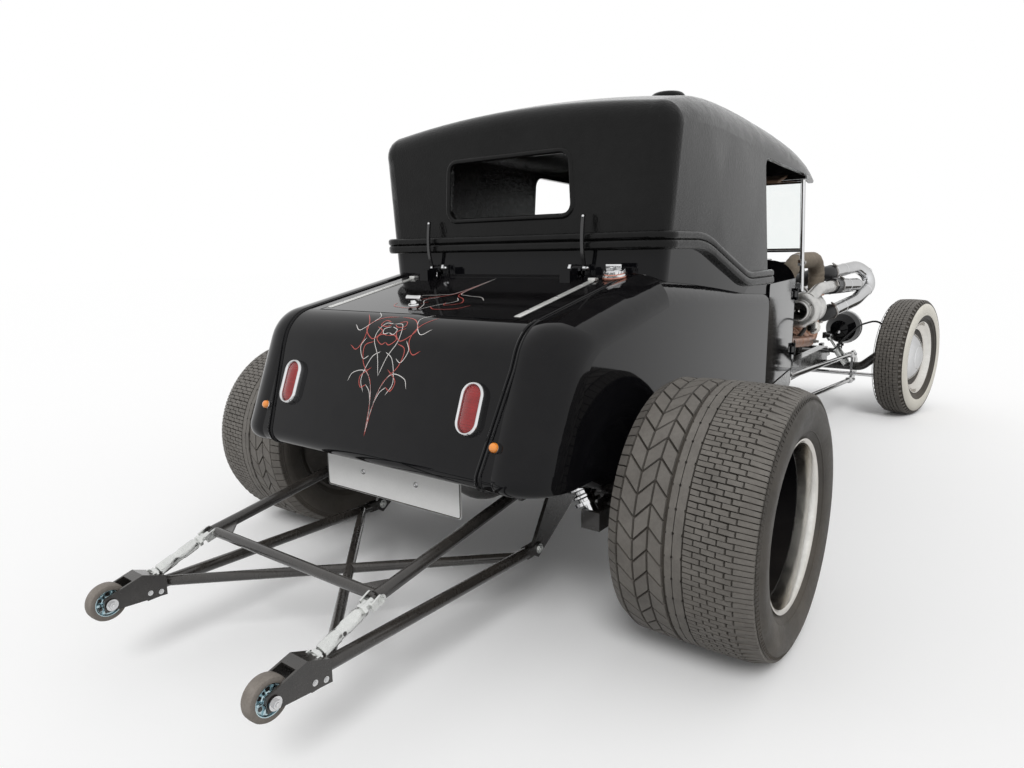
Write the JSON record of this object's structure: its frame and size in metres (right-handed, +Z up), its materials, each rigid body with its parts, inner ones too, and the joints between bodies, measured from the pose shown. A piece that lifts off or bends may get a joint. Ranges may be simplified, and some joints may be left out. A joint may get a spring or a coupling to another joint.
{
  "type": "street rod roadster",
  "caption": "Open street rod with moulded hard coupe top, very wide rear tyres, dropped front axle, open turbocharged engine, hinged doors and deck lid, and rear wheelie bars.",
  "frame": {"origin": "on the ground under the middle of the car's length and width", "axes": "+Y towards the car's front, +X to its right, +Z up"},
  "size_m": [1.821, 4.1904, 1.408],
  "materials": {
    "black_paint": "gloss",
    "frame_black": "gloss",
    "top_black": "textured",
    "chrome": "polished",
    "wind_glass": "gloss",
    "trim_vinyl": "satin",
    "wheel_black": "gloss",
    "engine_metal": "satin",
    "header_copper": "satin",
    "turbo_silver": "satin",
    "wrap": "matte",
    "rubber_black": "matte",
    "radiator_black": "satin",
    "plate_white": "gloss",
    "lamp_red": "gloss",
    "tyre": "matte",
    "rim_bright": "polished",
    "caster_grey": "satin"
  },
  "bodies": {
    "chassis": {"frame": "frame_black", "floor_pan": "frame_black", "quarter_left": "black_paint", "quarter_right": "black_paint", "tail_panel": "black_paint", "deck_surround": "black_paint", "deck_fittings": "chrome", "cowl": "black_paint", "hard_top": "top_black", "windshield_frame": "chrome", "windshield_glass": "wind_glass", "seat": "trim_vinyl", "steering_wheel": "wheel_black", "engine": "engine_metal", "headers": "header_copper", "turbocharger": "turbo_silver", "wrapped_pipe": "wrap", "charge_pipes": "chrome", "hoses": "rubber_black", "radiator": "radiator_black", "headlights": "frame_black", "front_axle": "frame_black", "brake_hoses": "rubber_black", "radius_rods": "chrome", "rear_axle": "frame_black", "coilovers": "chrome", "wheelie_bars": "frame_black", "number_plate": "plate_white", "rear_lamps": "lamp_red"},
    "deck_lid": {"deck_lid": "black_paint"},
    "tie_rod": {"tie_rod": "chrome"},
    "door_left": {"door_left": "black_paint"},
    "rear_wheel_left": {"rear_tyre_left": "tyre", "rear_wheel_left": "rim_bright"},
    "knuckle_left": {"knuckle_left": "frame_black"},
    "front_wheel_left": {"front_tyre_left": "tyre", "front_wheel_left": "rim_bright"},
    "caster_left": {"caster_wheel_left": "caster_grey"},
    "door_right": {"door_right": "black_paint"},
    "rear_wheel_right": {"rear_tyre_right": "tyre", "rear_wheel_right": "rim_bright"},
    "knuckle_right": {"knuckle_right": "frame_black"},
    "front_wheel_right": {"front_tyre_right": "tyre", "front_wheel_right": "rim_bright"},
    "caster_right": {"caster_wheel_right": "caster_grey"}
  },
  "joints": [
    {"name": "door_right_hinge", "type": "hinge", "parent": "chassis", "child": "door_right", "pos_m": [0.47, 0.40128, 0.6], "axis": [0, 0, 1], "range_deg": [0, 65]},
    {"name": "rear_wheel_right_spin", "type": "hinge", "parent": "chassis", "child": "rear_wheel_right", "pos_m": [0.742, -1.10122, 0.311], "axis": [1, 0, 0], "continuous": true},
    {"name": "steer_right", "type": "hinge", "parent": "chassis", "child": "knuckle_right", "pos_m": [0.612, 1.75878, 0.316], "axis": [0, 0, 1], "range_deg": [-20, 40]},
    {"name": "front_wheel_right_spin", "type": "hinge", "parent": "knuckle_right", "child": "front_wheel_right", "pos_m": [0.72033, 1.73968, 0.316], "axis": [0.9848, -0.1736, 0], "continuous": true},
    {"name": "caster_right_spin", "type": "hinge", "parent": "chassis", "child": "caster_right", "pos_m": [0.292, -2.05422, 0.184], "axis": [1, 0, 0], "continuous": true},
    {"name": "door_left_hinge", "type": "hinge", "parent": "chassis", "child": "door_left", "pos_m": [-0.47, 0.40128, 0.6], "axis": [0, 0, -1], "range_deg": [0, 65]},
    {"name": "rear_wheel_left_spin", "type": "hinge", "parent": "chassis", "child": "rear_wheel_left", "pos_m": [-0.742, -1.10122, 0.311], "axis": [1, 0, 0], "continuous": true},
    {"name": "steer_left", "type": "hinge", "parent": "chassis", "child": "knuckle_left", "pos_m": [-0.612, 1.75878, 0.316], "axis": [0, 0, 1], "range_deg": [-20, 40]},
    {"name": "front_wheel_left_spin", "type": "hinge", "parent": "knuckle_left", "child": "front_wheel_left", "pos_m": [-0.72033, 1.77788, 0.316], "axis": [0.9848, -0.1736, 0], "continuous": true},
    {"name": "caster_left_spin", "type": "hinge", "parent": "chassis", "child": "caster_left", "pos_m": [-0.292, -2.05422, 0.184], "axis": [1, 0, 0], "continuous": true},
    {"name": "deck_lid_hinge", "type": "hinge", "parent": "chassis", "child": "deck_lid", "pos_m": [0, -0.98322, 0.874], "axis": [-1, 0, 0], "range_deg": [0, 45]},
    {"name": "tie_rod_pivot", "type": "hinge", "parent": "knuckle_right", "child": "tie_rod", "pos_m": [0.59116, 1.64061, 0.212], "axis": [0, 0, 1], "range_deg": [-40, 20]}
  ],
  "couplings": [
    {"joint": "steer_left", "follows": "steer_right", "ratio": 1},
    {"joint": "tie_rod_pivot", "follows": "steer_right", "ratio": -1}
  ]
}
